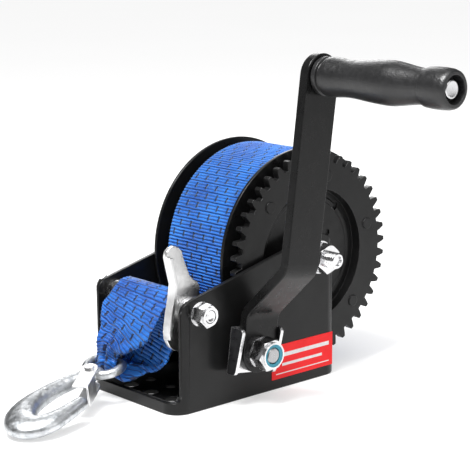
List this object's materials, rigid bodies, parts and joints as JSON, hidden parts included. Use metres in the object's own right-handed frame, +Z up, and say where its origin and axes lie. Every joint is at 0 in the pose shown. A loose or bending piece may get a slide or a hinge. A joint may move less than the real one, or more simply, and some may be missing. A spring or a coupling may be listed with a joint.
{
  "type": "hand-cranked strap winch",
  "caption": "Hand-cranked boat trailer winch: black steel frame, geared drum with blue webbing strap, crank arm with grip, ratchet pawl lever and snap hook.",
  "frame": {"origin": "centre of the base footprint, on the underside of the base", "axes": "+Z up; -X the side the strap pulls towards; -Y the crank side; drum and crank shafts along Y"},
  "size_m": [0.268, 0.2238, 0.2034],
  "materials": {
    "frame_paint": "semi-gloss black powder coat",
    "drum_paint": "semi-gloss black powder coat",
    "gear_paint": "semi-gloss black powder coat",
    "arm_paint": "semi-gloss black powder coat",
    "zinc": "bright zinc plate",
    "zinc_stamped": "zinc-plated stamping",
    "forged_zinc": "galvanised forging",
    "steel": "oiled machined steel",
    "bushing": "sintered dark bushing",
    "nylon": "blue nylon insert",
    "grip_plastic": "fine-textured black",
    "webbing": "woven polyester",
    "label": "printed vinyl"
  },
  "bodies": {
    "base": {"frame": "frame_paint", "plate_label": "label", "axle_bolt": "zinc", "axle_nut": "zinc", "axle_washers": "zinc", "axle_sleeve": "steel", "tie_bolt": "zinc", "tie_nut": "zinc", "tie_washers": "zinc", "tie_spacer": "zinc", "shaft_bushings": "bushing", "strap_tail": "webbing", "strap_loop": "webbing"},
    "drum": {"drum_core": "drum_paint", "drum_flange_far": "drum_paint", "drum_flange_near": "drum_paint", "drum_gear": "gear_paint", "gear_rivets": "gear_paint", "drum_bushings": "bushing", "strap_anchor_pin": "steel", "strap_roll": "webbing"},
    "crank": {"pinion_shaft": "steel", "ratchet_wheel": "zinc_stamped", "shaft_clip": "steel", "hub_spacer": "zinc", "drive_bracket": "zinc_stamped", "crank_arm": "arm_paint", "crank_washer": "zinc", "crank_nut": "zinc", "nut_insert": "nylon", "handle_bolt": "zinc", "handle_nut": "zinc"},
    "handle": {"grip": "grip_plastic"},
    "pawl_lever": {"pawl": "zinc_stamped", "pawl_hub": "zinc", "pawl_spring": "steel"},
    "hook_body": {"hook": "forged_zinc", "latch_rivet": "zinc"},
    "latch": {"hook_latch": "zinc_stamped"}
  },
  "joints": [
    {"name": "drum_spin", "type": "hinge", "parent": "base", "child": "drum", "pos_m": [0.047, 0, 0.076], "axis": [0, 1, 0], "continuous": true},
    {"name": "crank_spin", "type": "hinge", "parent": "base", "child": "crank", "pos_m": [-0.01203, 0, 0.03096], "axis": [0, 1, 0], "continuous": true},
    {"name": "grip_spin", "type": "hinge", "parent": "crank", "child": "handle", "pos_m": [0.01044, -0.12, 0.19089], "axis": [0, 1, 0], "continuous": true},
    {"name": "pawl_swing", "type": "hinge", "parent": "base", "child": "pawl_lever", "pos_m": [-0.048, -0.029, 0.058], "axis": [0, 1, 0], "range_deg": [0, 25], "stiffness_Nm_per_rad": 0.05, "springref_deg": -22.92},
    {"name": "hook_swing", "type": "hinge", "parent": "base", "child": "hook_body", "pos_m": [-0.07, 0.013, 0.0225], "axis": [-0.2736, 0.9605, 0.0513], "range_deg": [0, 25]},
    {"name": "latch_swing", "type": "hinge", "parent": "hook_body", "child": "latch", "pos_m": [-0.08969, 0.00699, 0.01828], "axis": [0.1782, 0.103, -0.9786], "range_deg": [0, 25], "stiffness_Nm_per_rad": 0.01, "springref_deg": -22.92}
  ],
  "couplings": [
    {"joint": "crank_spin", "follows": "drum_spin", "ratio": -4.4}
  ]
}
